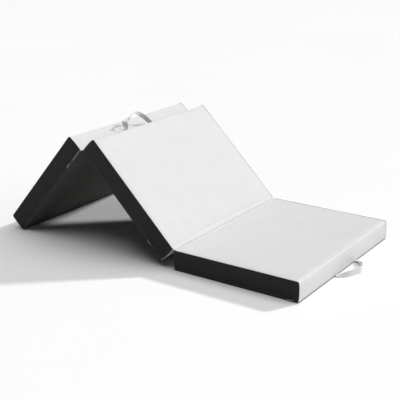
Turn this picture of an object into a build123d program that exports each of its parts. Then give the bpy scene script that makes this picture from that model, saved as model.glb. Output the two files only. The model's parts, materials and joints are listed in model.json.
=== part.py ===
from build123d import *
import math
import os

# Tri-fold foam mattress, three equal panels in removable covers.
# The right panel lies flat, the middle panel rises from it like a backrest and
# the left panel props it up as a tent. All lengths are millimetres, angles degrees.

# ---- driving dimensions ------------------------------------------------------
PANEL_L = 626.0        # one panel, hinge end to free end
PANEL_W = 900.0        # width of the mattress
PANEL_T = 95.0         # thickness of one panel
COVER_T = 1.5          # quilted cover fabric
CORE_GAP = 0.2         # air between the foam core and its cover
EDGE_R = 11.0          # rounding of the upper end edges
END_BULGE = 3.2        # how far the end faces swell out
HINGE_GAP = 4.5        # panel end to hinge line
HINGE_OFF = 2.0        # hinge line to panel face
RISE_DEG = 44.88       # slope of the middle panel at rest

ZIP_LOW, ZIP_HIGH = 1.5, 13.5      # zip tape, heights in the side wall
COIL_LOW, COIL_HIGH = 5.5, 9.5     # zip coil
COIL_T = 1.2                       # coil stands proud of the tape
ZIP_MARGIN = 4.0                   # tape stops short of the panel ends
SLIDER_L, SLIDER_H = 10.0, 7.0
PULL_L = 22.0
SLIDER_LEFT = PANEL_L - 105.0      # slider places along their panels
SLIDER_MIDDLE = PANEL_L - 105.0
SLIDER_RIGHT = PANEL_L - 30.0

STRAP_W = 25.0         # handle webbing
STRAP_T = 1.4
STRAP_SPAN = 225.0     # outer width of a handle loop
LEFT_LOOP = 93.0       # how far the left loop stands out of its seam
RIGHT_LOOP = 78.0
LEFT_SEAM = 20.0       # height of the left handle's seam on the end face
RIGHT_SEAM = 5.0
LEAN_RATIO = 0.5       # the left loop keeps to the middle of the open fold

HINGE_FABRIC_W = 892.0
HINGE_FABRIC_REACH = 22.0

# ---- derived places ----------------------------------------------------------
BC = (0.0, PANEL_T + HINGE_OFF)                          # hinge right/middle (x, z)
AB_FLAT = (-(2 * HINGE_GAP + PANEL_L), -HINGE_OFF)       # hinge middle/left, all flat


def turned(x, z, centre, degrees):
    """Point after a right-hand turn about +Y through centre."""
    a = math.radians(degrees)
    dx, dz = x - centre[0], z - centre[1]
    return (centre[0] + dx * math.cos(a) + dz * math.sin(a),
            centre[1] - dx * math.sin(a) + dz * math.cos(a))


AB = turned(AB_FLAT[0], AB_FLAT[1], BC, RISE_DEG)


def foot_height(slope):
    a = math.radians(slope)
    return AB[1] - (PANEL_L + HINGE_GAP) * math.sin(a) + HINGE_OFF * math.cos(a)


low, high = 20.0, 80.0                                   # slope that puts the foot on the floor
for _ in range(80):
    mid = (low + high) / 2
    if foot_height(mid) > 0:
        low = mid
    else:
        high = mid
PROP_DEG = (low + high) / 2
FOLD_DEG = RISE_DEG + PROP_DEG                           # fold between middle and left panels

X_RIGHT = HINGE_GAP                                      # u = 0 of each panel when all is flat
X_MIDDLE = -HINGE_GAP - PANEL_L
X_LEFT = -3 * HINGE_GAP - 2 * PANEL_L

BC_AXIS = Axis((BC[0], 0, BC[1]), (0, 1, 0))
AB_FLAT_AXIS = Axis((AB_FLAT[0], 0, AB_FLAT[1]), (0, 1, 0))


def place_right(s):
    return s


def place_middle(s):
    return s.rotate(BC_AXIS, RISE_DEG)


def place_left(s):
    return s.rotate(AB_FLAT_AXIS, -FOLD_DEG).rotate(BC_AXIS, RISE_DEG)


# ---- building blocks ---------------------------------------------------------
def box(x0, x1, y0, y1, z0, z1):
    return Pos((x0 + x1) / 2, (y0 + y1) / 2, (z0 + z1) / 2) * Box(x1 - x0, y1 - y0, z1 - z0)


def panel_prism(x0, inset, y0, y1):
    """Panel cross-section with swollen ends and rounded upper edges, shrunk by inset."""
    a, b = x0 + inset, x0 + PANEL_L - inset
    z0, z1 = inset, PANEL_T - inset
    zm = (z0 + z1) / 2
    r = EDGE_R - inset

    def v(x, z):
        return Vector(x, 0, z)

    bottom = Edge.make_line(v(a, z0), v(b, z0))
    right = Edge.make_three_point_arc(v(b, z0), v(b + END_BULGE, zm), v(b, z1))
    top = Edge.make_line(v(b, z1), v(a, z1))
    left = Edge.make_three_point_arc(v(a, z1), v(a - END_BULGE, zm), v(a, z0))
    prism = Solid.extrude(Face(Wire([bottom, right, top, left])), Vector(0, y1 - y0, 0))
    prism = prism.moved(Location((0, y0, 0)))
    edges = [e for e in prism.edges()
             if abs(e.center().Z - z1) < 1e-3 and e.length > abs(y1 - y0) - 1e-3
             and abs(e.center().Y - (y0 + y1) / 2) < 1e-3]
    edges = [e for e in edges if abs(e.center().X - a) < 1e-3 or abs(e.center().X - b) < 1e-3]
    return fillet(edges, r)


def keep_above(s, x0, z):
    return s - box(x0 - 50, x0 + PANEL_L + 50, -600, 600, -50, z)


def one(s):
    """The single solid of a boolean result."""
    solids = s.solids()
    return solids[0] if len(solids) == 1 else Compound(children=list(solids))


def foam_core(x0):
    t = COVER_T + CORE_GAP
    return one(panel_prism(x0, t, -PANEL_W / 2 + t, PANEL_W / 2 - t))


def top_cover(x0):
    y = PANEL_W / 2 - COVER_T
    shell = panel_prism(x0, 0, -y, y) - panel_prism(x0, COVER_T, -y - 1, y + 1)
    return one(keep_above(shell, x0, COVER_T))


def bottom_cover(x0):
    return box(x0, x0 + PANEL_L, -PANEL_W / 2, PANEL_W / 2, 0, COVER_T)


def gusset_far(x0):
    y = PANEL_W / 2
    return one(keep_above(panel_prism(x0, 0, y - COVER_T, y), x0, COVER_T))


def gusset_near(x0):
    y = -PANEL_W / 2
    return one(keep_above(panel_prism(x0, 0, y, y + COVER_T), x0, ZIP_HIGH))


def zip_strip(x0):
    y = -PANEL_W / 2
    a, b = x0 + ZIP_MARGIN, x0 + PANEL_L - ZIP_MARGIN
    tape = box(a, b, y, y + COVER_T, ZIP_LOW, ZIP_HIGH)
    coil = box(a + 2, b - 2, y - COIL_T, y, COIL_LOW, COIL_HIGH)
    edges = [e for e in coil.edges() if e.length > 100 and abs(e.center().Y - (y - COIL_T)) < 1e-3]
    return one(tape + fillet(edges, 0.8))


def zip_slider(x):
    """Saddle over the coil with a bridge for the pull."""
    y = -PANEL_W / 2
    zc = (COIL_LOW + COIL_HIGH) / 2
    plate = box(x - SLIDER_L / 2, x + SLIDER_L / 2, y - 3.0, y - 1.4, zc - SLIDER_H / 2, zc + SLIDER_H / 2)
    plate = fillet(plate.edges().filter_by(Axis.Y), 1.6)
    rails = [box(x - 4, x + 4, y - 1.5, y - 0.15, z0, z1)
             for z0, z1 in ((zc - 3.4, zc - 2.3), (zc + 2.3, zc + 3.4))]
    posts = [box(x - 1.2, x + 1.2, y - 5.9, y - 2.9, z0, z1)
             for z0, z1 in ((zc - 3.3, zc - 2.1), (zc + 2.1, zc + 3.3))]
    bar = Pos(x, y - 5.0, zc) * Cylinder(0.7, 6.0)
    s = plate + bar
    for p in rails + posts:
        s = s + p
    return one(s)


def zip_pull(x, way):
    """Flat tab on a ring, lying along the coil towards way (+1 or -1)."""
    y = -PANEL_W / 2 - 5.0
    zc = (COIL_LOW + COIL_HIGH) / 2
    ring = Pos(x, y, zc) * Cylinder(1.55, 3.4)
    neck = box(min(x, x + way * 5), max(x, x + way * 5), y - 0.55, y + 0.55, zc - 1.7, zc + 1.7)
    tab = box(min(x + way * 4, x + way * PULL_L), max(x + way * 4, x + way * PULL_L),
              y - 0.55, y + 0.55, zc - 2.8, zc + 2.8)
    tab = fillet(tab.edges().filter_by(Axis.Y), 2.0)
    hole = Pos(x, y, zc) * Cylinder(0.8, 8)
    eye = Pos(x + way * (PULL_L - 4.5), y, zc) * Rot(90, 0, 0) * Cylinder(1.2, 4)
    return one(ring + neck + tab - hole - eye)


def loop_plate(height, shoulder):
    """Flat webbing loop in the XY plane, base on x = 0, standing out along +X."""
    def half(width, top):
        e = Pos(shoulder, 0) * Ellipse(top - shoulder, width / 2)
        r = Pos(shoulder / 2, 0) * Rectangle(shoulder, width)
        keep = Pos(top, 0) * Rectangle(2 * (top - shoulder), width + 10)
        return (e & keep) + r
    sketch = half(STRAP_SPAN, height) - half(STRAP_SPAN - 2 * STRAP_W, height - STRAP_W)
    return Pos(0, 0, -STRAP_T / 2) * extrude(sketch, STRAP_T)


def strap_ends(x0, z0, z1):
    """Sewn-down ends of the webbing on the outer end face of a panel."""
    body = panel_prism(x0, 0, -PANEL_W / 2, PANEL_W / 2)
    xe = x0 + PANEL_L
    out = []
    for side in (-1, 1):
        yc = side * (STRAP_SPAN / 2 - STRAP_W / 2)
        piece = box(xe - 1, xe + HINGE_GAP - 1.1, yc - STRAP_W / 2 + 1, yc + STRAP_W / 2 - 1, z0, z1) - body
        out += list(piece.solids())
    return Compound(children=out)


# ---- the pieces --------------------------------------------------------------
nodes = {}
for name, x0, place, slider_u, way in (
        ("left", X_LEFT, place_left, SLIDER_LEFT, -1),
        ("middle", X_MIDDLE, place_middle, SLIDER_MIDDLE, 1),
        ("right", X_RIGHT, place_right, SLIDER_RIGHT, -1)):
    nodes["foam_core_" + name] = place(foam_core(x0))
    nodes["top_cover_" + name] = place(top_cover(x0))
    nodes["bottom_cover_" + name] = place(bottom_cover(x0))
    nodes["side_wall_near_" + name] = place(gusset_near(x0))
    nodes["side_wall_far_" + name] = place(gusset_far(x0))
    nodes["zip_strip_" + name] = place(zip_strip(x0))
    nodes["zip_slider_" + name] = place(zip_slider(x0 + slider_u))
    nodes["zip_pull_" + name] = place(zip_pull(x0 + slider_u, way))

# left handle: on the hinge-side end face of the left panel, standing in the open fold
pivot_left = (X_LEFT + PANEL_L + HINGE_GAP, LEFT_SEAM)
strap = loop_plate(LEFT_LOOP, 15.0).rotate(Axis.Y, -90)          # stands up along +Z
strap = Pos(pivot_left[0], 0, pivot_left[1]) * strap
strap = strap.rotate(Axis((pivot_left[0], 0, pivot_left[1]), (0, 1, 0)), LEAN_RATIO * FOLD_DEG)
nodes["handle_strap_left"] = place_left(one(strap))
nodes["handle_ends_left"] = place_left(strap_ends(X_LEFT, LEFT_SEAM - 13.0, LEFT_SEAM - 0.6))

# right handle: on the free end of the right panel, lying out over the floor
pivot_right = (X_RIGHT + PANEL_L + HINGE_GAP, RIGHT_SEAM)
nodes["handle_strap_right"] = one(Pos(pivot_right[0], 0, pivot_right[1]) * loop_plate(RIGHT_LOOP, 12.0))
nodes["handle_ends_right"] = strap_ends(X_RIGHT, 1.6, RIGHT_SEAM - 0.8)

# fabric bridges across the two folds
y = HINGE_FABRIC_W / 2
reach = HINGE_FABRIC_REACH
bridge = (box(-1.3, HINGE_GAP + reach - 5, -y, y, PANEL_T, PANEL_T + 1.0)
          + box(-HINGE_GAP - reach + 5, 1.1, -y, y, PANEL_T + 0.35, PANEL_T + 1.35).rotate(BC_AXIS, RISE_DEG))
nodes["hinge_fabric_right"] = one(bridge)
xa = AB_FLAT[0]
bridge = (box(xa - 1.3, xa + reach, -y, y, -1.0, 0.0)
          + box(xa - reach, xa + 1.1, -y, y, -1.35, -0.35).rotate(AB_FLAT_AXIS, -FOLD_DEG))
nodes["hinge_fabric_left"] = place_middle(one(bridge))

# ---- row frame: origin under the middle of the whole mattress, on the floor --
boxes = [s.bounding_box() for s in nodes.values()]
X0 = (min(b.min.X for b in boxes) + max(b.max.X for b in boxes)) / 2
Y0 = (min(b.min.Y for b in boxes) + max(b.max.Y for b in boxes)) / 2

os.makedirs("parts", exist_ok=True)
for name, s in nodes.items():
    export_step(s.moved(Location((-X0, -Y0, 0))), "parts/" + name + ".step")

print("origin shift", round(X0, 4), round(Y0, 4))
print("prop slope", round(PROP_DEG, 4), "fold", round(FOLD_DEG, 4))
print("hinge right", BC, "hinge left", AB)
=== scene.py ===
import json
import math

import bpy
import numpy as np
from mathutils import Matrix, Vector


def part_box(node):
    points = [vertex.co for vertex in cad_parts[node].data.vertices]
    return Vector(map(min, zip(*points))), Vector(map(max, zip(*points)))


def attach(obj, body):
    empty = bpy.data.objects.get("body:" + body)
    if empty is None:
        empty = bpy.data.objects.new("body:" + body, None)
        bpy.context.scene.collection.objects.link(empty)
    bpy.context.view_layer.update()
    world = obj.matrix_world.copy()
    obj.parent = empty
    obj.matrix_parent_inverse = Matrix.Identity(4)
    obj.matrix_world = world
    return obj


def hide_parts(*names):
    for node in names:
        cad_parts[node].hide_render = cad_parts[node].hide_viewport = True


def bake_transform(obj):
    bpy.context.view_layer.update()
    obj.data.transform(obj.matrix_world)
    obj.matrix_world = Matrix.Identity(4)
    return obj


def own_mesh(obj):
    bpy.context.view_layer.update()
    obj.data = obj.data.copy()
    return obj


# Looks of the tri-fold foam mattress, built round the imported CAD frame.
# Every panel has local axes: u along its length, y across, v through its thickness.
# All lengths in metres unless a name ends in _mm.

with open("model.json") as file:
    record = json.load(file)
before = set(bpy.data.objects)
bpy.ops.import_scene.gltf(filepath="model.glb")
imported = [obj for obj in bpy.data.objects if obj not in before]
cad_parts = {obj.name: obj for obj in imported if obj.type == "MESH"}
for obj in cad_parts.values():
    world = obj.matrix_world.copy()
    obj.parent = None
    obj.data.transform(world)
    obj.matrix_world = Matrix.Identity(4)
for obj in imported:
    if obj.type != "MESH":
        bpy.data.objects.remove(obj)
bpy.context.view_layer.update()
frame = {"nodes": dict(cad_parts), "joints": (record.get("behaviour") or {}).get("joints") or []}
MM = 0.001
JOINTS = {j["name"]: j for j in frame["joints"]}

# ---- sizes and places from the CAD -------------------------------------------
low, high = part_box("bottom_cover_right")
L = (high.x - low.x) / MM
W = (high.y - low.y) / MM
YC = (high.y + low.y) / 2
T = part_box("top_cover_right")[1].z / MM
BC = Vector(JOINTS["fold_right"]["pos_m"])
AB = Vector(JOINTS["fold_left"]["pos_m"])
E = (low.x - BC.x) / MM                      # panel end to hinge line
H = BC.z / MM - T                            # hinge line to panel face
D_MID = -Vector(JOINTS["zip_middle_slide"]["axis"]).normalized()
D_LEFT = -Vector(JOINTS["zip_left_slide"]["axis"]).normalized()
N_MID = Vector((-D_MID.z, 0, D_MID.x))
N_LEFT = Vector((-D_LEFT.z, 0, D_LEFT.x))
BC = Vector((BC.x, YC, BC.z))
AB = Vector((AB.x, YC, AB.z))
R_EDGE = 11.0
BULGE = 3.2
ZIP_TOP = 13.5
SLIDER = {"left": L - 105.0, "middle": L - 105.0, "right": L - 30.0}


def axes(origin, eu, ev):
    m = Matrix.Identity(4)
    for r in range(3):
        m[r][0], m[r][1], m[r][2], m[r][3] = eu[r], (0, 1, 0)[r], ev[r], origin[r]
    return m


PLACE = {
    "right": axes(Vector((low.x, YC, 0)), Vector((1, 0, 0)), Vector((0, 0, 1))),
    "middle": axes(BC - (L + E) * MM * D_MID - (T + H) * MM * N_MID, D_MID, N_MID),
    "left": axes(AB - (L + E) * MM * D_LEFT + H * MM * N_LEFT, D_LEFT, N_LEFT),
}
BODY = {"left": "panel_left", "middle": "panel_middle", "right": "panel_right"}


# ---- mesh helpers --------------------------------------------------------------
def mesh_object(name, verts_mm, faces, matrix=None, smooth=True, sharp=None):
    me = bpy.data.meshes.new(name)
    v = np.asarray(verts_mm, float) * MM
    me.from_pydata([tuple(p) for p in v], [], [tuple(int(i) for i in f) for f in faces])
    me.validate()
    me.update()
    if smooth:
        me.polygons.foreach_set("use_smooth", np.ones(len(me.polygons), bool))
    if sharp is not None:
        me.set_sharp_from_angle(angle=math.radians(sharp))
    o = bpy.data.objects.new(name, me)
    bpy.context.scene.collection.objects.link(o)
    if matrix is not None:
        o.matrix_world = matrix
    return o


def baked(o, name):
    """The object's mesh with its modifiers applied, as a new mesh."""
    dg = bpy.context.evaluated_depsgraph_get()
    me = bpy.data.meshes.new_from_object(o.evaluated_get(dg), depsgraph=dg)
    me.name = name
    return me


def catmull(points, n):
    """n samples of a smooth curve through the points, and their shares of it."""
    p = np.asarray(points, float)
    p = np.vstack([2 * p[0] - p[1], p, 2 * p[-1] - p[-2]])
    k = len(p) - 3
    t = np.linspace(0, k, n)
    i = np.minimum(t.astype(int), k - 1)
    f = (t - i)[:, None]
    a, b, c, d = p[i], p[i + 1], p[i + 2], p[i + 3]
    return 0.5 * (2 * b + (c - a) * f + (2 * a - 5 * b + 4 * c - d) * f * f
                  + (3 * b - a - 3 * c + d) * f ** 3)


def unit(a):
    return a / np.maximum(np.linalg.norm(a, axis=-1, keepdims=True), 1e-12)


def tube(points, radius, sides=8, squeeze=1.0):
    """Closed tube round a polyline, in mm."""
    p = np.asarray(points, float)
    tangent = unit(np.gradient(p, axis=0))
    ref = np.array([0.0, 1.0, 0.0])
    side = unit(np.cross(tangent, ref) + 1e-9)
    up = np.cross(side, tangent)
    ang = np.arange(sides) * 2 * math.pi / sides
    ring = (np.cos(ang)[None, :, None] * side[:, None, :] * radius
            + np.sin(ang)[None, :, None] * up[:, None, :] * radius * squeeze)
    verts = (p[:, None, :] + ring).reshape(-1, 3)
    n = len(p)
    faces = [(i * sides + j, i * sides + (j + 1) % sides, (i + 1) * sides + (j + 1) % sides, (i + 1) * sides + j)
             for i in range(n - 1) for j in range(sides)]
    faces.append(tuple(range(sides))[::-1])
    faces.append(tuple((n - 1) * sides + j for j in range(sides)))
    return verts, faces


def capsules(centres, along, up, length, radius, flat=1.0):
    """Many small rounded bars, one at each centre, in mm."""
    sides = 6
    ang = np.arange(sides) * 2 * math.pi / sides
    rows = [(-0.5, 0.0), (-0.40, 0.75), (0.0, 1.0), (0.40, 0.75), (0.5, 0.0)]
    c, a, u = (np.asarray(x, float) for x in (centres, along, up))
    a = unit(a)
    s = unit(np.cross(a, u))
    u = np.cross(s, a)
    verts, faces = [], []
    ring = [(x, r, t) for x, r in rows[1:-1] for t in ang]
    local = np.array([(x * length, r * radius * math.cos(t), r * radius * flat * math.sin(t)) for x, r, t in ring]
                     + [(-0.5 * length, 0, 0), (0.5 * length, 0, 0)])
    n = len(local)
    quads = []
    for k in range(2):
        for j in range(sides):
            quads.append((k * sides + j, k * sides + (j + 1) % sides, (k + 1) * sides + (j + 1) % sides, (k + 1) * sides + j))
    ends = []
    for j in range(sides):
        ends.append((n - 2, (j + 1) % sides, j))
        ends.append((n - 1, 2 * sides + j, 2 * sides + (j + 1) % sides))
    for q in range(len(c)):
        p = c[q] + local[:, :1] * a[q] + local[:, 1:2] * s[q] + local[:, 2:3] * u[q]
        verts.append(p)
        faces += [tuple(i + q * n for i in f) for f in quads + ends]
    return np.vstack(verts), faces


def merge(parts):
    verts, faces, at = [], [], 0
    for v, f in parts:
        verts.append(np.asarray(v, float))
        faces += [tuple(i + at for i in q) for q in f]
        at += len(v)
    return np.vstack(verts), faces


def ribbon(a, b, thickness, ribs, rib_depth=0.18, edge=0.0):
    """Woven band between edge lines a and b (n points each, mm), with ribs along it."""
    a, b = np.asarray(a, float), np.asarray(b, float)
    n = len(a)
    m = ribs * 4 + 1
    w = np.linspace(0, 1, m)
    width = unit(b - a)
    tangent = unit(np.gradient((a + b) / 2, axis=0))
    normal = unit(np.cross(tangent, width))
    base = a[:, None, :] * (1 - w)[None, :, None] + b[:, None, :] * w[None, :, None]
    wave = np.cos(w * ribs * 2 * math.pi) * -0.5 + 0.5
    half = thickness / 2 - rib_depth * (1 - wave)
    half = half * np.clip(np.minimum(w, 1 - w) * m / 1.2 + 0.35, 0, 1)
    top = base + normal[:, None, :] * half[None, :, None]
    bot = base - normal[:, None, :] * half[None, :, None]
    verts = np.vstack([top.reshape(-1, 3), bot.reshape(-1, 3)])
    o = n * m
    faces = []
    for i in range(n - 1):
        for j in range(m - 1):
            p = i * m + j
            faces.append((p, p + m, p + m + 1, p + 1))
            faces.append((o + p, o + p + 1, o + p + m + 1, o + p + m))
        for j in (0, m - 1):
            p = i * m + j
            f = (p, o + p, o + p + m, p + m)
            faces.append(f if j == 0 else f[::-1])
    for i in (0, n - 1):
        for j in range(m - 1):
            p = i * m + j
            f = (p, p + 1, o + p + 1, o + p)
            faces.append(f if i == 0 else f[::-1])
    return verts, faces


def resample(path, step):
    """Points every step along a polyline, with the tangent at each."""
    p = np.asarray(path, float)
    seg = np.linalg.norm(np.diff(p, axis=0), axis=1)
    s = np.concatenate([[0], np.cumsum(seg)])
    at = np.arange(step / 2, s[-1], step)
    q = np.stack([np.interp(at, s, p[:, k]) for k in range(3)], 1)
    e = 0.4
    q0 = np.stack([np.interp(at - e, s, p[:, k]) for k in range(3)], 1)
    q1 = np.stack([np.interp(at + e, s, p[:, k]) for k in range(3)], 1)
    return q, unit(q1 - q0)


# ---- materials -----------------------------------------------------------------
def material(name):
    m = bpy.data.materials.new(name)
    m.use_nodes = True
    nt = m.node_tree
    nt.nodes.clear()
    out = nt.nodes.new("ShaderNodeOutputMaterial")
    bsdf = nt.nodes.new("ShaderNodeBsdfPrincipled")
    nt.links.new(bsdf.outputs["BSDF"], out.inputs["Surface"])
    return m, nt, bsdf


def xyz(nt):
    tc = nt.nodes.new("ShaderNodeTexCoord")
    sep = nt.nodes.new("ShaderNodeSeparateXYZ")
    nt.links.new(tc.outputs["Object"], sep.inputs[0])
    return tc.outputs["Object"], sep.outputs


def calc(nt, op, a, b=None, c=None):
    n = nt.nodes.new("ShaderNodeMath")
    n.operation = op
    for k, x in enumerate((a, b, c)):
        if x is None:
            continue
        if isinstance(x, (int, float)):
            n.inputs[k].default_value = x
        else:
            nt.links.new(x, n.inputs[k])
    return n.outputs[0]


def wave(nt, source, pitch, phase=0.0):
    """Cosine of a coordinate, one turn each pitch."""
    return calc(nt, "COSINE", calc(nt, "MULTIPLY_ADD", source, 2 * math.pi / pitch, phase))


def noise(nt, vector, scale, detail=3.0, rough=0.5):
    n = nt.nodes.new("ShaderNodeTexNoise")
    n.inputs["Scale"].default_value = scale
    n.inputs["Detail"].default_value = detail
    n.inputs["Roughness"].default_value = rough
    nt.links.new(vector, n.inputs["Vector"])
    return n.outputs["Fac"]


def ramp(nt, fac, stops):
    n = nt.nodes.new("ShaderNodeValToRGB")
    els = n.color_ramp.elements
    while len(els) < len(stops):
        els.new(0.5)
    for e, (pos, col) in zip(els, stops):
        e.position = pos
        e.color = (*col, 1)
    nt.links.new(fac, n.inputs["Fac"])
    return n.outputs["Color"]


def mixed(nt, fac, a, b, kind="MIX"):
    n = nt.nodes.new("ShaderNodeMix")
    n.data_type = "RGBA"
    n.blend_type = kind
    for sock, x in ((n.inputs["Factor"], fac), (n.inputs[6], a), (n.inputs[7], b)):
        if isinstance(x, (int, float)):
            sock.default_value = x
        elif isinstance(x, tuple):
            sock.default_value = (*x, 1)
        else:
            nt.links.new(x, sock)
    return n.outputs[2]


def bump(nt, bsdf, height, strength, distance, also=None):
    n = nt.nodes.new("ShaderNodeBump")
    n.inputs["Strength"].default_value = strength
    n.inputs["Distance"].default_value = distance
    nt.links.new(height, n.inputs["Height"])
    if also is not None:
        m = nt.nodes.new("ShaderNodeBump")
        m.inputs["Strength"].default_value = also[1]
        m.inputs["Distance"].default_value = also[2]
        nt.links.new(also[0], m.inputs["Height"])
        nt.links.new(m.outputs["Normal"], n.inputs["Normal"])
    nt.links.new(n.outputs["Normal"], bsdf.inputs["Normal"])


def rough(nt, bsdf, fac, lo, hi):
    n = nt.nodes.new("ShaderNodeMapRange")
    n.inputs["To Min"].default_value = lo
    n.inputs["To Max"].default_value = hi
    nt.links.new(fac, n.inputs["Value"])
    nt.links.new(n.outputs["Result"], bsdf.inputs["Roughness"])


def knit_white():
    """Fine weft knit: rows of small loops, a soft mottle and a few stray fibres."""
    m, nt, b = material("white_knit")
    vec, s = xyz(nt)
    run = calc(nt, "ADD", s[0], s[2])
    rows = wave(nt, run, 0.0021)
    lean = calc(nt, "MULTIPLY", wave(nt, run, 0.0042), 0.9)
    cols = calc(nt, "COSINE", calc(nt, "ADD", calc(nt, "MULTIPLY", s[1], 2 * math.pi / 0.0017), lean))
    loops = calc(nt, "MULTIPLY", calc(nt, "ADD", rows, 1.4), calc(nt, "ADD", cols, 1.4))
    fuzz = noise(nt, vec, 900.0, 3.0, 0.6)
    mottle = noise(nt, vec, 9.0, 4.0, 0.55)
    fleck = noise(nt, vec, 160.0, 2.0, 0.5)
    base = ramp(nt, mottle, [(0.30, (0.640, 0.640, 0.638)), (0.52, (0.652, 0.652, 0.650)), (0.72, (0.664, 0.664, 0.661))])
    dark = ramp(nt, calc(nt, "MULTIPLY", loops, 0.16), [(0.0, (0.93, 0.93, 0.93)), (0.6, (1.0, 1.0, 1.0))])
    spots = ramp(nt, fleck, [(0.70, (1.0, 1.0, 1.0)), (0.80, (0.955, 0.952, 0.946))])
    col = mixed(nt, 1.0, mixed(nt, 1.0, base, dark, "MULTIPLY"), spots, "MULTIPLY")
    nt.links.new(col, b.inputs["Base Color"])
    rough(nt, b, fuzz, 0.86, 0.98)
    b.inputs["Specular IOR Level"].default_value = 0.18
    b.inputs["Sheen Weight"].default_value = 0.06
    b.inputs["Sheen Roughness"].default_value = 0.6
    bump(nt, b, loops, 0.35, 0.00025, (noise(nt, vec, 24.0, 3.0, 0.55), 0.20, 0.0035))
    return m


def mesh_black():
    """Warp-knitted spacer mesh: a honeycomb of small openings."""
    m, nt, b = material("black_mesh")
    vec, s = xyz(nt)
    u, v = calc(nt, "ADD", s[0], s[1]), s[2]
    p = 0.0036
    one = wave(nt, u, p)
    two = wave(nt, calc(nt, "ADD", calc(nt, "MULTIPLY", u, 0.5), calc(nt, "MULTIPLY", v, 0.866)), p)
    three = wave(nt, calc(nt, "SUBTRACT", calc(nt, "MULTIPLY", u, 0.5), calc(nt, "MULTIPLY", v, 0.866)), p)
    comb = calc(nt, "ADD", one, calc(nt, "ADD", two, three))
    holes = calc(nt, "MULTIPLY_ADD", comb, 0.22, 0.33)
    yarn = noise(nt, vec, 1400.0, 2.0, 0.5)
    tone = noise(nt, vec, 14.0, 3.0, 0.5)
    net = ramp(nt, holes, [(0.30, (0.028, 0.028, 0.029)), (0.62, (0.010, 0.010, 0.011))])
    wear = ramp(nt, tone, [(0.3, (0.86, 0.86, 0.87)), (0.7, (1.10, 1.10, 1.10))])
    nt.links.new(mixed(nt, 1.0, net, wear, "MULTIPLY"), b.inputs["Base Color"])
    rough(nt, b, yarn, 0.66, 0.9)
    b.inputs["Specular IOR Level"].default_value = 0.22
    b.inputs["Sheen Weight"].default_value = 0.05
    b.inputs["Sheen Roughness"].default_value = 0.5
    bump(nt, b, calc(nt, "SUBTRACT", 1.0, holes), 0.6, 0.0006, (yarn, 0.2, 0.0002))
    return m


def cloth_charcoal():
    """Plain-woven polyester base cloth."""
    m, nt, b = material("charcoal_cloth")
    vec, s = xyz(nt)
    run = calc(nt, "ADD", s[0], s[2])
    weft, warp = wave(nt, run, 0.0013), wave(nt, s[1], 0.0013)
    weave = calc(nt, "MULTIPLY_ADD", calc(nt, "MULTIPLY", weft, warp), 0.5, 0.5)
    tone = noise(nt, vec, 11.0, 4.0, 0.55)
    yarn = noise(nt, vec, 1100.0, 2.0, 0.5)
    base = ramp(nt, weave, [(0.2, (0.044, 0.041, 0.038)), (0.8, (0.062, 0.058, 0.053))])
    wear = ramp(nt, tone, [(0.3, (0.88, 0.88, 0.88)), (0.72, (1.10, 1.10, 1.10))])
    nt.links.new(mixed(nt, 1.0, base, wear, "MULTIPLY"), b.inputs["Base Color"])
    rough(nt, b, yarn, 0.74, 0.94)
    b.inputs["Specular IOR Level"].default_value = 0.2
    b.inputs["Sheen Weight"].default_value = 0.05
    bump(nt, b, weave, 0.4, 0.00025, (tone, 0.15, 0.004))
    return m


def foam_material():
    m, nt, b = material("foam")
    vec, s = xyz(nt)
    v = nt.nodes.new("ShaderNodeTexVoronoi")
    v.inputs["Scale"].default_value = 700.0
    nt.links.new(vec, v.inputs["Vector"])
    tone = noise(nt, vec, 12.0, 3.0)
    col = ramp(nt, tone, [(0.3, (0.86, 0.82, 0.70)), (0.7, (0.93, 0.90, 0.80))])
    cell = ramp(nt, v.outputs["Distance"], [(0.0, (0.82, 0.82, 0.82)), (0.6, (1.0, 1.0, 1.0))])
    nt.links.new(mixed(nt, 1.0, col, cell, "MULTIPLY"), b.inputs["Base Color"])
    rough(nt, b, tone, 0.85, 0.97)
    b.inputs["Specular IOR Level"].default_value = 0.15
    bump(nt, b, v.outputs["Distance"], 0.5, 0.0005)
    return m


def webbing_grey():
    """Ribbed polyester webbing; its ribs are in the mesh, its picks in the bump."""
    m, nt, b = material("grey_webbing")
    vec, s = xyz(nt)
    diag = calc(nt, "ADD", calc(nt, "ADD", s[0], s[1]), s[2])
    cross = calc(nt, "SUBTRACT", calc(nt, "ADD", s[0], s[2]), s[1])
    picks = calc(nt, "MULTIPLY_ADD", calc(nt, "MULTIPLY", wave(nt, diag, 0.0018), wave(nt, cross, 0.0018)), 0.5, 0.5)
    fibre = noise(nt, vec, 1300.0, 2.0, 0.6)
    tone = noise(nt, vec, 40.0, 3.0)
    base = ramp(nt, picks, [(0.1, (0.64, 0.64, 0.645)), (0.9, (0.73, 0.73, 0.73))])
    wear = ramp(nt, tone, [(0.3, (0.93, 0.93, 0.93)), (0.7, (1.04, 1.04, 1.04))])
    nt.links.new(mixed(nt, 1.0, base, wear, "MULTIPLY"), b.inputs["Base Color"])
    rough(nt, b, fibre, 0.6, 0.82)
    b.inputs["Specular IOR Level"].default_value = 0.3
    b.inputs["Sheen Weight"].default_value = 0.08
    bump(nt, b, picks, 0.4, 0.0002, (fibre, 0.15, 0.0001))
    return m


def zip_material(name, lo, hi, gloss, coat):
    m, nt, b = material(name)
    vec, s = xyz(nt)
    tone = noise(nt, vec, 300.0, 3.0, 0.6)
    base = ramp(nt, tone, [(0.3, lo), (0.7, hi)])
    nt.links.new(base, b.inputs["Base Color"])
    rough(nt, b, tone, gloss, gloss + 0.22)
    b.inputs["Coat Weight"].default_value = coat
    b.inputs["Coat Roughness"].default_value = 0.35
    weft = calc(nt, "MULTIPLY", wave(nt, s[0], 0.0009), wave(nt, s[2], 0.0009))
    bump(nt, b, weft, 0.3, 0.00012, (tone, 0.15, 0.0002))
    return m


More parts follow.
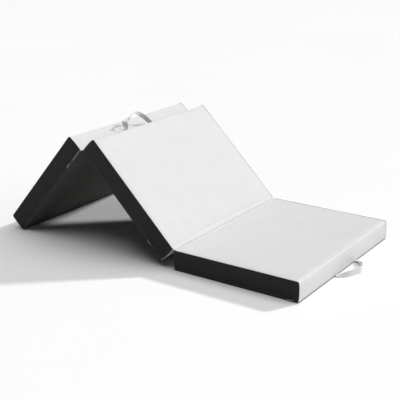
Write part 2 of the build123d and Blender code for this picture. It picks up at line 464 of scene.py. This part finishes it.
def zip_metal():
    m, nt, b = material("zip_metal")
    vec, s = xyz(nt)
    tone = noise(nt, vec, 220.0, 4.0, 0.6)
    stretch = nt.nodes.new("ShaderNodeMapping")
    stretch.inputs["Scale"].default_value = (40.0, 900.0, 900.0)
    nt.links.new(vec, stretch.inputs["Vector"])
    brush = noise(nt, stretch.outputs["Vector"], 3.0, 3.0, 0.6)
    base = ramp(nt, tone, [(0.3, (0.20, 0.20, 0.205)), (0.6, (0.27, 0.27, 0.275)), (0.8, (0.34, 0.34, 0.34))])
    nt.links.new(base, b.inputs["Base Color"])
    b.inputs["Metallic"].default_value = 1.0
    rough(nt, b, brush, 0.32, 0.5)
    bump(nt, b, brush, 0.12, 0.0001)
    return m


WHITE, BLACK, CHAR, FOAM, WEB = knit_white(), mesh_black(), cloth_charcoal(), foam_material(), webbing_grey()
TAPE = zip_material("zip_tape", (0.016, 0.016, 0.017), (0.030, 0.030, 0.031), 0.62, 0.0)
COIL = zip_material("zip_coil", (0.020, 0.020, 0.021), (0.036, 0.036, 0.037), 0.36, 0.15)
METAL = zip_metal()


def thread(name, lo, hi):
    m, nt, b = material(name)
    vec, s = xyz(nt)
    twist = wave(nt, calc(nt, "ADD", calc(nt, "ADD", s[0], s[1]), s[2]), 0.0006)
    tone = noise(nt, vec, 60.0, 3.0)
    nt.links.new(ramp(nt, tone, [(0.3, lo), (0.7, hi)]), b.inputs["Base Color"])
    rough(nt, b, tone, 0.45, 0.65)
    b.inputs["Sheen Weight"].default_value = 0.1
    bump(nt, b, twist, 0.4, 0.0001)
    return m


THREAD_WHITE = thread("thread_white", (0.70, 0.70, 0.70), (0.78, 0.78, 0.78))
BINDING = thread("binding_tape", (0.014, 0.014, 0.014), (0.026, 0.026, 0.026))
THREAD_BLACK = thread("thread_black", (0.020, 0.020, 0.021), (0.034, 0.034, 0.035))
# mid-grey thread for the upper fold's seam: its grey is painted shade for the dark crease along the fold
FOLD_SHADE_THREAD = thread("fold_shade_thread", (0.20, 0.20, 0.205), (0.28, 0.28, 0.28))
THREAD_GREY = thread("thread_grey", (0.44, 0.44, 0.45), (0.54, 0.54, 0.54))


# ---- panels --------------------------------------------------------------------
def levels(stops, total, cell):
    """Grid lines close together at both ends and about a cell apart between."""
    mid = np.linspace(stops[-1], total - stops[-1], max(2, int(round((total - 2 * stops[-1]) / cell)) + 1))
    return np.concatenate([np.array(stops[:-1], float), mid, total - np.array(stops[:-1][::-1], float)])


def end_bulge(v):
    return BULGE * (1 - ((v - T / 2) / (T / 2)) ** 2)


ARC_U = R_EDGE - end_bulge(T - R_EDGE)
CELL = 12.5
column_v = [0, 1.5, 4, 8, ZIP_TOP, 20, 30, 41, 52, 63, 73, T - R_EDGE]
left_column = [(-end_bulge(v), v) for v in column_v]
for deg in (165, 150, 135):
    a = math.radians(deg)
    left_column.append((ARC_U + R_EDGE * math.cos(a), T - R_EDGE + R_EDGE * math.sin(a)))
left_column = np.array(left_column)
top_row = []
for deg in (135, 120, 105):
    a = math.radians(deg)
    top_row.append((ARC_U + R_EDGE * math.cos(a), T - R_EDGE + R_EDGE * math.sin(a)))
inner_u = levels([0, 5, 12, 22], L - 2 * ARC_U, CELL) + ARC_U
top_row += [(u, T) for u in inner_u]
top_row += [(L - u, v) for u, v in top_row[:3][::-1]]
top_row = np.array(top_row)
NU, NV = len(top_row) - 1, len(left_column) - 1
bottom_u = np.interp(np.arange(NU + 1), [0, 3, NU - 3, NU], [0, ARC_U, L - ARC_U, L])
bottom_u[3:NU - 2] = inner_u
bottom_row = np.stack([bottom_u, np.zeros(NU + 1)], 1)
right_column = np.stack([L - left_column[:, 0], left_column[:, 1]], 1)
ys = levels([0, 1.5, 3.5, 6, 10, 17, 27], W, CELL) - W / 2
NY = len(ys) - 1


def section():
    """(u, v) of every lattice point of a panel's cross-section."""
    s = (bottom_row[:, 0] / L)[:, None, None]
    t = (left_column[:, 1] / left_column[-1, 1])[None, :, None]
    B, Tp = bottom_row[:, None, :], top_row[:, None, :]
    Lc, Rc = left_column[None, :, :], right_column[None, :, :]
    p00, p10, p01, p11 = bottom_row[0], bottom_row[-1], top_row[0], top_row[-1]
    return ((1 - t) * B + t * Tp + (1 - s) * Lc + s * Rc
            - ((1 - s) * (1 - t) * p00 + s * (1 - t) * p10 + (1 - s) * t * p01 + s * t * p11))


SECTION = section()
index = -np.ones((NU + 1, NV + 1, NY + 1), int)
shell = np.zeros(index.shape, bool)
shell[[0, -1]] = shell[:, [0, -1]] = shell[:, :, [0, -1]] = True
index[shell] = np.arange(shell.sum())
LATTICE = np.argwhere(shell)
TOP, NEAR, FAR, BOTTOM, ZIPBAND = range(5)


def quads(plane, fixed, region, flip, na, nb):
    out = []
    for a in range(na):
        for b in range(nb):
            pts = []
            for da, db in ((0, 0), (1, 0), (1, 1), (0, 1)):
                if plane == "j":
                    pts.append(index[a + da, fixed, b + db])
                elif plane == "i":
                    pts.append(index[fixed, a + da, b + db])
                else:
                    pts.append(index[a + da, b + db, fixed])
            r = region(a, b) if callable(region) else region
            out.append((tuple(pts[::-1] if flip else pts), r))
    return out


FACES = []
FACES += quads("j", 0, BOTTOM, True, NU, NY)
FACES += quads("j", NV, TOP, False, NU, NY)
FACES += quads("i", 0, TOP, False, NV, NY)
FACES += quads("i", NU, TOP, True, NV, NY)
zip_row = column_v.index(ZIP_TOP)
FACES += quads("k", 0, lambda a, b: ZIPBAND if b < zip_row else NEAR, False, NU, NV)
FACES += quads("k", NY, FAR, True, NU, NV)


def seam_weight(i, j, k):
    """1 at the sewn seams and over the bottom, 0 where the cover is free."""
    return 1.0 if (j == 0 or (k in (0, NY) and (i in (0, NU) or j == NV))
                   or (k == 0 and j <= zip_row)) else 0.0


def lattice_noise(p, seed, size):
    """Smooth noise over points in mm, about -1 to 1, from a few seeded waves."""
    rng = np.random.default_rng(seed)
    out = np.zeros(len(p))
    for _ in range(14):
        k = rng.normal(size=3)
        k = k / np.linalg.norm(k) * (2 * math.pi / (size * rng.uniform(0.7, 1.6)))
        out += np.sin(p @ k + rng.uniform(0, 2 * math.pi))
    return out / 4.0


def start_shape(inset):
    uv = SECTION[LATTICE[:, 0], LATTICE[:, 1]]
    y = ys[LATTICE[:, 2]]
    p = np.stack([uv[:, 0], y, uv[:, 1]], 1)
    seam = np.array([seam_weight(*q) for q in LATTICE])
    edge = np.minimum(W / 2 - np.abs(y), 40.0) / 40.0
    edge = np.sin(edge * math.pi / 2)
    q = p.copy()
    free = (1 - seam)
    is_top = (LATTICE[:, 1] == NV)
    fade = np.sin(np.clip(np.minimum(uv[:, 0], L - uv[:, 0]), 0, 24.0) / 24.0 * math.pi / 2)
    q[:, 2] -= np.where(is_top, inset * edge * fade * free, 0)
    q[:, 2] -= np.where(is_top | (LATTICE[:, 1] > NV - 3), 1.1 * (1 - edge) * np.exp(-(W / 2 - np.abs(y)) / 5.0), 0)
    for row, sign in ((0, 1), (NU, -1)):
        q[:, 0] += np.where(LATTICE[:, 0] == row, sign * 0.7 * inset * edge * free, 0)
    for row, sign in ((0, 1), (NY, -1)):
        q[:, 1] += np.where(LATTICE[:, 2] == row, sign * 0.5 * inset * free, 0)
    return p, q, seam


def inflated(name, start, seam):
    """The cover swollen by its foam: one short cloth simulation with its seams held."""
    o = mesh_object("sim_" + name, start, [f for f, r in FACES])
    g = o.vertex_groups.new(name="held")
    g.add([int(i) for i in np.nonzero(seam >= 1)[0]], 1.0, "REPLACE")
    cloth = o.modifiers.new("cloth", "CLOTH")
    s = cloth.settings
    s.quality = 4
    s.mass = 0.25
    s.tension_stiffness = s.compression_stiffness = 18
    s.shear_stiffness = 8
    s.bending_stiffness = 0.4
    s.vertex_group_mass = "held"
    s.use_pressure = True
    s.uniform_pressure_force = 4.0
    s.effector_weights.gravity = 0.0
    cloth.collision_settings.use_collision = False
    cloth.point_cache.frame_start, cloth.point_cache.frame_end = 1, 20
    for f in range(1, 21):
        bpy.context.scene.frame_set(f)
    me = baked(o, "sim_out")
    co = np.zeros(len(me.vertices) * 3)
    me.vertices.foreach_get("co", co)
    bpy.data.objects.remove(o)
    bpy.context.scene.frame_set(1)
    return co.reshape(-1, 3) / MM


def above_floor(p, m):
    """Points in mm lifted in the world where they would sink into the floor."""
    up = np.array([m[2][0], m[2][1], m[2][2]])
    z = p @ up + m[2][3] / MM
    return p + np.maximum(0.25 - z, 0.0)[:, None] * up


def panel_shape(name, seed):
    nominal, start, seam = start_shape(1.6)
    swollen = inflated(name, start, seam)
    move = swollen - start
    size = np.linalg.norm(move, axis=1, keepdims=True)
    cap = 2.6
    move = move / np.maximum(size, 1e-9) * cap * np.tanh(size / cap)
    near_seam = np.sin(np.minimum(W / 2 - np.abs(nominal[:, 1]), 45.0) / 45.0 * math.pi / 2)
    at_end = np.isin(LATTICE[:, 0], (0, NU))
    move[:, 0] *= np.where(at_end, 0.42 * near_seam, 1.0)
    p = start + move
    # the foam's slight unevenness, and slack gathered along the seams
    free = (1 - seam)
    big = lattice_noise(nominal, seed, 210.0)
    fine = lattice_noise(nominal, seed + 7, 62.0)
    top = (LATTICE[:, 1] == NV) * free
    p[:, 2] += top * (0.45 * big + 0.22 * fine)
    ends = ((LATTICE[:, 0] == NU) * 1.0 - (LATTICE[:, 0] == 0) * 1.0) * free
    p[:, 0] += ends * near_seam * (0.12 * big + 0.09 * fine)
    # the end faces swell no further than the foam's own curve, so that folded panels lie flat
    reach = np.array([end_bulge(v) for v in nominal[:, 2]]) + 0.35
    p[:, 0] = np.where(at_end, np.clip(p[:, 0], -reach, L + reach), p[:, 0])
    walls = ((LATTICE[:, 2] == NY) * 1.0 - (LATTICE[:, 2] == 0) * 1.0) * free
    p[:, 1] += walls * (0.35 * big + 0.30 * fine)
    # nothing lower than the panel's own base, nor than the floor it stands on
    p[:, 2] = np.maximum(p[:, 2], 0.0)
    return above_floor(p, PLACE[name])


def split_cover(name, p):
    """Subdivides the closed cover once and cuts it into its sewn pieces."""
    o = mesh_object("cover_" + name, p, [f for f, r in FACES])
    me = o.data
    me.polygons.foreach_set("material_index", np.array([r for f, r in FACES], np.int32))
    for _ in range(5):
        me.materials.append(None)
    region = {}
    for f, r in FACES:
        for a, b in zip(f, f[1:] + f[:1]):
            region.setdefault((min(a, b), max(a, b)), set()).add(r)
    crease = me.attributes.new("crease_edge", "FLOAT", "EDGE")
    ev = np.zeros(len(me.edges) * 2, np.int32)
    me.edges.foreach_get("vertices", ev)
    ev = ev.reshape(-1, 2)
    crease.data.foreach_set("value", np.array([1.0 if len(region[(min(a, b), max(a, b))]) > 1 else 0.0 for a, b in ev], np.float32))
    sub = o.modifiers.new("sub", "SUBSURF")
    sub.levels = sub.render_levels = 1
    sub.use_limit_surface = False
    fine = baked(o, "cover_fine")
    bpy.data.objects.remove(o)
    n = len(fine.vertices)
    co = np.zeros(n * 3)
    fine.vertices.foreach_get("co", co)
    co = co.reshape(-1, 3) / MM
    mats = np.zeros(len(fine.polygons), np.int32)
    fine.polygons.foreach_get("material_index", mats)
    loops = np.zeros(len(fine.loops), np.int32)
    fine.loops.foreach_get("vertex_index", loops)
    polys = loops.reshape(-1, 4)
    bpy.data.meshes.remove(fine)
    out = {}
    for r in (TOP, NEAR, FAR, BOTTOM):
        sel = polys[mats == r]
        used, inv = np.unique(sel, return_inverse=True)
        verts = co[used].copy()
        if r == TOP:                                   # its cut edge lies just inside the side walls
            edge = np.abs(verts[:, 1]) > W / 2 - 0.6
            verts[edge, 1] = np.sign(verts[edge, 1]) * (W / 2 - 0.6)
        out[r] = (verts, inv.reshape(-1, 4))
    return out


def cloth_piece(name, verts, faces, thickness, matrix, mat, slot, body, cad):
    """A cover piece: the outer surface with cloth thickness inwards."""
    o = mesh_object(name + "_outer", verts, faces, matrix)
    s = o.modifiers.new("solid", "SOLIDIFY")
    s.thickness = thickness * MM
    s.offset = -1.0
    s.use_even_offset = False
    me = baked(o, name)
    bpy.data.objects.remove(o)
    piece = bpy.data.objects.new(name, me)
    bpy.context.scene.collection.objects.link(piece)
    piece.matrix_world = matrix
    me.polygons.foreach_set("use_smooth", np.ones(len(me.polygons), bool))
    me.set_sharp_from_angle(angle=math.radians(55))
    me.materials.clear()
    me.materials.append(mat)
    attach(piece, body)
    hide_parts(cad)
    return piece


def dress(o, mat, body, cad=None):
    o.data.materials.clear()
    o.data.materials.append(mat)
    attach(o, body)
    if cad:
        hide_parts(cad)
    return o


def line_of(p, pick):
    return np.array([p[index[q]] for q in pick])


def loop_at(p, k):
    """The panel's outline in lattice plane k, up one end, over the top and down the other."""
    return line_of(p, [(0, j, k) for j in range(NV)] + [(i, NV, k) for i in range(NU + 1)]
                   + [(NU, j, k) for j in range(NV - 1, -1, -1)])


def outward(path, centre):
    """Unit vectors in the u-v plane, square to the path, pointing away from the centre."""
    t = unit(np.gradient(path, axis=0))
    n = unit(np.stack([-t[:, 2], np.zeros(len(t)), t[:, 0]], 1))
    flip = ((path - centre) * n).sum(1) < 0
    n[flip] *= -1
    return n


def stitch_line(path, normal_at, length=3.4, gap=1.5, radius=0.34, lift=0.08):
    q, t = resample(path, length + gap)
    n = normal_at(q, t)
    return capsules(q + n * lift, t, n, length, radius, 0.8)


def build_panel(name, seed):
    body, m = BODY[name], PLACE[name]
    p = panel_shape(name, seed)
    cover = split_cover(name, p)
    pieces = {}
    top = cloth_piece(name + "_top_cover", *cover[TOP], 1.3, m, WHITE, "white_knit", body, "top_cover_" + name)
    near = cloth_piece(name + "_side_wall_near", *cover[NEAR], 1.3, m, BLACK, "black_mesh", body, "side_wall_near_" + name)
    far = cloth_piece(name + "_side_wall_far", *cover[FAR], 1.3, m, BLACK, "black_mesh", body, "side_wall_far_" + name)
    bottom = cloth_piece(name + "_bottom_cover", *cover[BOTTOM], 1.1, m, CHAR, "charcoal_cloth", body, "bottom_cover_" + name)

    # foam core, a little smaller than its cover all round
    core = p.copy()
    centre = np.array([L / 2, 0.0, T / 2])
    core = centre + (core - centre) * (1 - np.array([7.0 / L, 8.0 / W, 7.0 / T]))
    foam = mesh_object(name + "_foam_core", core, [f for f, r in FACES], m, sharp=40)
    dress(foam, FOAM, body, "foam_core_" + name)

    # overlocked edge seams between the top cover and the side walls
    rolls, ends = [], []
    for k, out in ((0, -1), (NY, 1)):
        path = loop_at(p, k)
        path[:, 1] += -out * 0.2
        fine = catmull(path, (len(path) - 1) * 3 + 1)
        fine[:, 2] = np.maximum(fine[:, 2], 1.3)
        cut = len(fine) - 3 * NV
        rolls.append(tube(fine[:cut + 1], 1.15, 8, 0.9))
        ends.append(tube(fine[cut:], 1.15, 8, 0.9))
    seams = mesh_object(name + "_edge_seams", *merge(rolls), m)
    dress(seams, THREAD_BLACK, body)
    seams = mesh_object(name + "_end_seams", *merge(ends), m)
    dress(seams, WHITE, body)

    # charcoal binding round the foot of the end faces and of the far side
    hems = []
    for i in (0, NU):
        path = line_of(p, [(i, 0, k) for k in range(NY + 1)])
        path[:, 0] += -0.3 if i == 0 else 0.3
        path[:, 2] = 1.75
        hems.append(tube_along_y(path, 1.7))
    far_path = line_of(p, [(i, 0, NY) for i in range(NU + 1)])
    far_path[:, 1] += 0.1
    far_path[:, 2] = 1.75
    hems.append(tube(far_path, 1.7, 8))
    near_path = line_of(p, [(i, 0, 0) for i in range(NU + 1)])
    near_path[:, 1] -= 0.1
    near_path[:, 2] = 1.2
    hems.append(tube(near_path, 1.15, 8))
    hem = mesh_object(name + "_bottom_binding", *merge(hems), m)
    dress(hem, BINDING, body)

    # stitches
    white = []
    for k in (4, NY - 4):
        path = loop_at(p, k)
        white.append(stitch_line(path[2:-2], lambda q, t: unit(np.stack([
            -t[:, 2], 0 * q[:, 0], np.abs(t[:, 0]) + 1e-6], 1))))
    for i in (0, NU):
        path = line_of(p, [(i, 3, k) for k in range(2, NY - 1)])
        side = -1.0 if i == 0 else 1.0
        white.append(stitch_line(path, lambda q, t, side=side: np.tile([side, 0.0, 0.0], (len(q), 1))))
    o = mesh_object(name + "_stitches_white", *merge(white), m)
    dress(o, THREAD_WHITE, body)
    black = []
    row = line_of(p, [(i, zip_row, 0) for i in range(NU + 1)])
    row[:, 2] += 2.6
    row[:, 1] -= 0.25
    black.append(stitch_line(row[1:-1], lambda q, t: np.tile([0.0, -1.0, 0.0], (len(q), 1))))
    lowrow = row.copy()
    lowrow[:, 2] = 3.0
    lowrow[:, 1] = -W / 2 - 0.35
    black.append(stitch_line(lowrow[1:-1], lambda q, t: np.tile([0.0, -1.0, 0.0], (len(q), 1))))
    o = mesh_object(name + "_stitches_black", *merge(black), m)
    dress(o, THREAD_BLACK, body)

    build_zip(name, m, body)


def tube_along_y(path, radius, sides=8):
    p = np.asarray(path, float)
    ang = np.arange(sides) * 2 * math.pi / sides
    ring = np.stack([np.cos(ang) * radius, 0 * ang, np.sin(ang) * radius], 1)
    verts = (p[:, None, :] + ring[None]).reshape(-1, 3)
    n = len(p)
    faces = [(i * sides + (j + 1) % sides, i * sides + j, (i + 1) * sides + j, (i + 1) * sides + (j + 1) % sides)
             for i in range(n - 1) for j in range(sides)]
    faces.append(tuple(range(sides)))
    faces.append(tuple((n - 1) * sides + j for j in range(sides))[::-1])
    return verts, faces


# ---- zips ----------------------------------------------------------------------
def build_zip(name, m, body):
    y = -W / 2
    u0, u1 = 4.0, L - 4.0
    n = 60
    us = np.linspace(0.6, L - 0.6, n)
    slider = SLIDER[name]
    open_from = slider + 4.0
    spread = np.clip((us - open_from) / 30.0, 0, 1) * (1.3 if name == "left" else 0.0)
    tapes = []
    for lo, hi, sign in ((1.5, 6.5, -1), (8.5, ZIP_TOP, 1)):
        inner = (lo if sign > 0 else hi) + sign * spread
        a = np.stack([us, np.full(n, y + 0.35), np.full(n, lo if sign < 0 else 0.0)], 1)
        b = np.stack([us, np.full(n, y + 0.35), np.full(n, hi if sign > 0 else 0.0)], 1)
        if sign < 0:
            b[:, 2] = inner
        else:
            a[:, 2] = inner
        tapes.append(ribbon(a, b, 1.3, 5, 0.12))
    o = mesh_object(name + "_zip_tape", *merge(tapes), m)
    dress(o, TAPE, body, "zip_strip_" + name)
    # coil: two rows of small loops that mesh in the middle
    step = 0.82
    at = np.arange(u0 + 2.5, u1 - 2.5, step)
    up = (np.arange(len(at)) % 2) * 2 - 1
    drift = np.clip((at - open_from) / 30.0, 0, 1) * (1.5 if name == "left" else 0.0)
    c = np.stack([at, np.full(len(at), y - 0.45), 7.5 + up * (0.55 + drift)], 1)
    v, f = capsules(c, np.tile([0.12, 0.0, 1.0], (len(at), 1)), np.tile([0.0, -1.0, 0.0], (len(at), 1)), 3.0, 0.46, 1.35)
    o = mesh_object(name + "_zip_coil", v, f, m)
    dress(o, COIL, body)
    # stops at both ends of the coil
    stops = []
    for u in (u0 + 1.3, u1 - 1.3):
        stops.append(capsules([[u, y - 0.5, 7.5]], [[0, 0, 1.0]], [[0, -1.0, 0]], 5.2, 1.0, 0.9))
    o = mesh_object(name + "_zip_stops", *merge(stops), m)
    dress(o, METAL, body)
    if name == "left":
        # beyond the slider the zip stands a little open and the pale liner shows
        us = np.linspace(open_from + 3, u1 - 3, 24)
        gap = 0.3 + 1.5 * np.clip((us - open_from) / 30.0, 0, 1)
        a = np.stack([us, np.full(24, y - 0.15), 7.5 - gap], 1)
        b = np.stack([us, np.full(24, y - 0.15), 7.5 + gap], 1)
        o = mesh_object(name + "_zip_liner", *ribbon(a, b, 0.8, 2, 0.1), m)
        dress(o, WHITE, body)


for n, seed in (("left", 11), ("middle", 23), ("right", 37)):
    build_panel(n, seed)


# ---- handles -------------------------------------------------------------------
SHIFT = np.array([BC.x / MM, YC / MM, 0.0])     # the frame's hinge line BC is x = 0 here


def loop_handle(name, pairs, body, cad):
    pairs = np.asarray(pairs, float) + SHIFT
    count = (len(pairs) - 1) * 14 + 1
    a, b = catmull(pairs[:, 0], count), catmull(pairs[:, 1], count)
    v, f = ribbon(a, b, 1.5, 7, 0.16)
    o = mesh_object(name, v, f, sharp=62)
    dress(o, WEB, body, cad)
    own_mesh(o)
    return o


pivot_left = np.array(JOINTS["handle_left_swing"]["pos_m"]) / MM - SHIFT
pivot_right = np.array(JOINTS["handle_right_swing"]["pos_m"]) / MM - SHIFT
px, pz = pivot_left[0], pivot_left[2]
left_pairs = [
    ((px, -113.5, pz + 0.4), (px, -88.5, pz + 0.4)),
    ((px + 1.5, -117.0, pz + 11), (px + 3.0, -92.5, pz + 11)),
    ((-533, -119.0, 512), (-528, -94.0, 514)),
    ((-537, -125.0, 533), (-524, -99.0, 528)),
    ((-538, -128.0, 549), (-524, -103.0, 540)),
    ((-538, -110.0, 557), (-523, -92.0, 550)),
    ((-538.5, -66.0, 560), (-523.5, -80.0, 564)),
    ((-538.0, -46.0, 575.5), (-524.5, -63.0, 578.5)),
    ((-532.0, -20.0, 582.5), (-530.5, -27.0, 566.0)),
    ((-525, 31.0, 558), (-537, 24.0, 540)),
    ((-520, 78.0, 521), (-541, 76.0, 506)),
    ((-532, 110.0, 500), (-537, 86.0, 496)),
    ((px, 113.5, pz + 0.4), (px, 88.5, pz + 0.4)),
]
loop_handle("left_handle", left_pairs, "handle_left", "handle_strap_left")
px = pivot_right[0]
right_pairs = [
    ((px, -88.5, 5.0), (px, -113.5, 5.0)),
    ((px + 9, -92.0, 4.5), (px + 11, -116.0, 2.8)),
    ((654, -97.0, 14.0), (662, -110.0, 1.5)),
    ((679, -74.0, 25.0), (685.5, -82.0, 1.1)),
    ((697, -32.0, 26.5), (703.5, -37.0, 1.1)),
    ((705, 0.0, 27.0), (711, 1.0, 1.2)),
    ((698, 34.0, 26.5), (703, 36.0, 1.5)),
    ((677, 62.0, 22.0), (685, 68.0, 2.2)),
    ((653, 78.0, 14.0), (661, 93.0, 3.0)),
    ((px + 6, 86.0, 7.0), (px + 8, 110.5, 4.0)),
    ((px, 88.5, 5.0), (px, 113.5, 5.0)),
]
loop_handle("right_handle", right_pairs, "handle_right", "handle_strap_right")


def handle_tabs(name, panel, v0, v1, cad):
    """The webbing's sewn-down ends on the panel's end face, with their stitches."""
    parts, threads = [], []
    for side in (-1, 1):
        yc = side * (225.0 / 2 - 12.5)
        vs = np.linspace(v0, v1, 9)
        u = L + end_bulge(vs) + 1.9
        u = u - 0.9 * (vs - v0) / (v1 - v0)
        u[-1] = L + E - 0.2
        a = np.stack([u, np.full(9, yc - 12.5), vs], 1)
        b = np.stack([u, np.full(9, yc + 12.5), vs], 1)
        parts.append(ribbon(a, b, 1.4, 7, 0.14))
        for v in (v0 + 0.35 * (v1 - v0), v0 + 0.7 * (v1 - v0)):
            uu = float(np.interp(v, vs, u)) + 0.75
            path = np.array([[uu, yc - 10.5, v], [uu, yc + 10.5, v]])
            threads.append(stitch_line(path, lambda q, t: np.tile([1.0, 0.0, 0.0], (len(q), 1)), 2.6, 0.9, 0.35, 0.1))
    o = mesh_object(name + "_tabs", *merge(parts), PLACE[panel], sharp=62)
    dress(o, WEB, BODY[panel], cad)
    o = mesh_object(name + "_tab_stitches", *merge(threads), PLACE[panel])
    dress(o, THREAD_GREY, BODY[panel])


handle_tabs("left_handle", "left", 6.5, 20.0, "handle_ends_left")
handle_tabs("right_handle", "right", 1.8, 5.0, "handle_ends_right")


# ---- fabric hinges -------------------------------------------------------------
def hinge_sheet(name, sides, hinge, thickness, mat, cad, deep):
    """A strip of cover cloth from one panel's edge, over the hinge line, to the next."""
    width = 892.0
    (pa, prof_a), (pb, prof_b) = sides
    pts = [np.array(pa @ Vector((u * MM, 0, v * MM))) / MM for u, v in prof_a]
    pts += [np.array(hinge) / MM + np.array(deep)]
    pts += [np.array(pb @ Vector((u * MM, 0, v * MM))) / MM for u, v in prof_b[::-1]]
    line = catmull(np.array(pts), (len(pts) - 1) * 5 + 1)
    line[:, 1] = 0
    t = unit(np.gradient(line, axis=0))
    nrm = np.stack([-t[:, 2], 0 * t[:, 0], t[:, 0]], 1)
    yy = np.linspace(-width / 2, width / 2, 91)
    n, m = len(line), len(yy)
    rip = lattice_noise(np.stack([yy, 0 * yy, 0 * yy], 1), 5, 60.0) * 0.25
    verts = []
    for s in (0.5, -0.5):
        g = line[:, None, :] + nrm[:, None, :] * (s * thickness + rip[None, :, None])
        g[:, :, 1] = yy[None, :] + YC / MM
        verts.append(g.reshape(-1, 3))
    v = np.vstack(verts)
    o = n * m
    faces = []
    for i in range(n - 1):
        for j in range(m - 1):
            p = i * m + j
            faces.append((p, p + 1, p + m + 1, p + m))
            faces.append((o + p, o + p + m, o + p + m + 1, o + p + 1))
    for i in range(n - 1):
        for j in (0, m - 1):
            p = i * m + j
            f = (p, p + m, o + p + m, o + p)
            faces.append(f if j == 0 else f[::-1])
    for i in (0, n - 1):
        for j in range(m - 1):
            p = i * m + j
            f = (p + 1, p, o + p, o + p + 1)
            faces.append(f if i == 0 else f[::-1])
    obj = mesh_object(name, v, faces, sharp=62)
    obj.data.materials.append(mat)
    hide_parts(cad)
    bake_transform(obj)
    return obj


def lerp_profile(pts, flip):
    return [((L - u) if flip else u, v) for u, v in pts]


top_profile = [(17, T - 3.0), (12.5, T - 1.7), (8.5, T - 0.75), (4.5, T - 0.45), (1.0, T - 0.4), (-2.2, T - 0.4)]
bis = (Vector((0, 0, 1)) + N_MID).normalized()
bis_top = tuple(bis)
hinge_sheet("hinge_fabric_top",
            ((PLACE["right"], lerp_profile(top_profile, False)), (PLACE["middle"], lerp_profile(top_profile, True))),
            BC, 1.1, WHITE, "hinge_fabric_right",
            np.array(bis) * -2.6)
low_profile = [(22, 0.8), (17, -0.9), (11, -1.3), (5, -1.3), (0.5, -0.9)]
bis = (N_LEFT + N_MID).normalized()
hinge_sheet("hinge_fabric_bottom",
            ((PLACE["middle"], lerp_profile(low_profile, False)), (PLACE["left"], lerp_profile(low_profile, True))),
            AB, 1.0, CHAR, "hinge_fabric_left",
            np.array(bis) * 1.6)

# the stitched line of the upper fold; its mid-grey thread is painted shade that stands in for the dark crease along
# the fold
fold = np.array(BC) / MM - np.array(bis_top) * 2.3
path = np.array([[fold[0], y + fold[1], fold[2]] for y in np.linspace(-444.0, 444.0, 60)])
q, t = resample(path, 4.9)
n = np.tile(np.array(bis_top), (len(q), 1))
seam = mesh_object("hinge_seam_top", *capsules(q + n * 0.5, t, n, 4.3, 0.8, 0.8))
seam.data.materials.append(FOLD_SHADE_THREAD)
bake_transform(seam)

# ---- carried-over CAD metal ----------------------------------------------------
for n in ("left", "middle", "right"):
    for part in ("zip_slider_", "zip_pull_"):
        o = frame["nodes"][part + n]
        o.data.materials.clear()
        o.data.materials.append(METAL)

# ---- floor, light and camera ---------------------------------------------------
me = bpy.data.meshes.new("floor")
S = 60.0
me.from_pydata([(-S, -S, 0), (S, -S, 0), (S, S, 0), (-S, S, 0)], [], [(0, 1, 2, 3)])
floor = bpy.data.objects.new("floor", me)
bpy.context.scene.collection.objects.link(floor)
m, nt, b = material("studio_floor")
vec, s = xyz(nt)
tone = noise(nt, vec, 0.8, 3.0)
nt.links.new(ramp(nt, tone, [(0.3, (0.825, 0.825, 0.825)), (0.7, (0.837, 0.837, 0.837))]), b.inputs["Base Color"])
rough(nt, b, tone, 0.75, 0.85)
b.inputs["Specular IOR Level"].default_value = 0.1
me.materials.append(m)


def sun(name, azimuth, elevation, spread, energy):
    """Soft light from a direction: azimuth from +X towards +Y, both in degrees."""
    light = bpy.data.lights.new(name, "SUN")
    light.energy = energy
    light.angle = math.radians(spread)
    o = bpy.data.objects.new(name, light)
    bpy.context.scene.collection.objects.link(o)
    a, e = math.radians(azimuth), math.radians(elevation)
    back = Vector((math.cos(a) * math.cos(e), math.sin(a) * math.cos(e), math.sin(e)))
    o.rotation_euler = back.to_track_quat("Z", "Y").to_euler()
    o.location = back * 5
    return o


sun("key", 64.0, 29.5, 5.0, 2.5)
sun("overhead", 70.0, 85.0, 68.0, 1.9)
sun("side", 15.0, 28.0, 50.0, 0.88)

world = bpy.data.worlds.new("studio")
world.use_nodes = True
wt = world.node_tree
wt.nodes.clear()
out = wt.nodes.new("ShaderNodeOutputWorld")
fill = wt.nodes.new("ShaderNodeBackground")
fill.inputs["Color"].default_value = (1, 1, 1, 1)
fill.inputs["Strength"].default_value = 0.06
seen = wt.nodes.new("ShaderNodeBackground")
seen.inputs["Color"].default_value = (1, 1, 1, 1)
seen.inputs["Strength"].default_value = 0.93
path = wt.nodes.new("ShaderNodeLightPath")
mix = wt.nodes.new("ShaderNodeMixShader")
wt.links.new(path.outputs["Is Camera Ray"], mix.inputs[0])
wt.links.new(fill.outputs[0], mix.inputs[1])
wt.links.new(seen.outputs[0], mix.inputs[2])
wt.links.new(mix.outputs[0], out.inputs["Surface"])
bpy.context.scene.world = world
bpy.context.scene.view_settings.view_transform = "Standard"

cam = bpy.data.cameras.new("camera")
cam.lens = 79.794
cam.sensor_width = 36.0
cam.clip_start, cam.clip_end = 0.05, 200.0
camera = bpy.data.objects.new("camera", cam)
bpy.context.scene.collection.objects.link(camera)
az, el = math.radians(34.044), math.radians(18.3756)
look = Vector((-math.sin(az) * math.cos(el), math.cos(az) * math.cos(el), -math.sin(el)))
camera.location = (2.304459, -3.434387, 1.555614)
camera.rotation_mode = "QUATERNION"
camera.rotation_quaternion = look.to_track_quat("-Z", "Y")
bpy.context.scene.camera = camera
